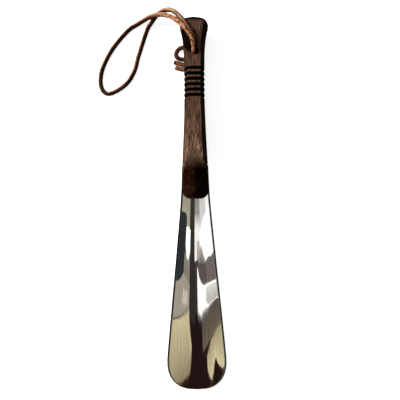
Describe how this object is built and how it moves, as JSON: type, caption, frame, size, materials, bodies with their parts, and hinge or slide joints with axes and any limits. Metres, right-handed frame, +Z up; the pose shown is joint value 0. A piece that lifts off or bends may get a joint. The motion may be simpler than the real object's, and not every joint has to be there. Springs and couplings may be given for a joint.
{
  "type": "shoehorn",
  "caption": "Long shoehorn: a polished steel trough riveted round the foot of a faceted dark wooden handle, with a knotted leather hanging thong",
  "frame": {"origin": "On the table, below the middle of the handle and blade as the horn lies on its back", "axes": "+Z up, +Y along the horn towards the top of the handle, +X to the right of the handle seen from above"},
  "size_m": [0.1045, 0.3123, 0.0324],
  "materials": {
    "polished_steel": "polished along its length, with faint fine brush lines",
    "dark_wood": "dark stained open grain with a thin satin oil, burnt black in the cut rings",
    "rivet_steel": "plain steel, hammered over",
    "tan_leather": "waxed round leather cord, darker on its far side"
  },
  "bodies": {
    "root": {"blade": "polished_steel", "handle": "dark_wood", "rivet_upper": "rivet_steel", "rivet_lower": "rivet_steel", "thong_loop": "tan_leather", "thong_knot": "tan_leather", "thong_tail": "tan_leather"}
  },
  "joints": []
}
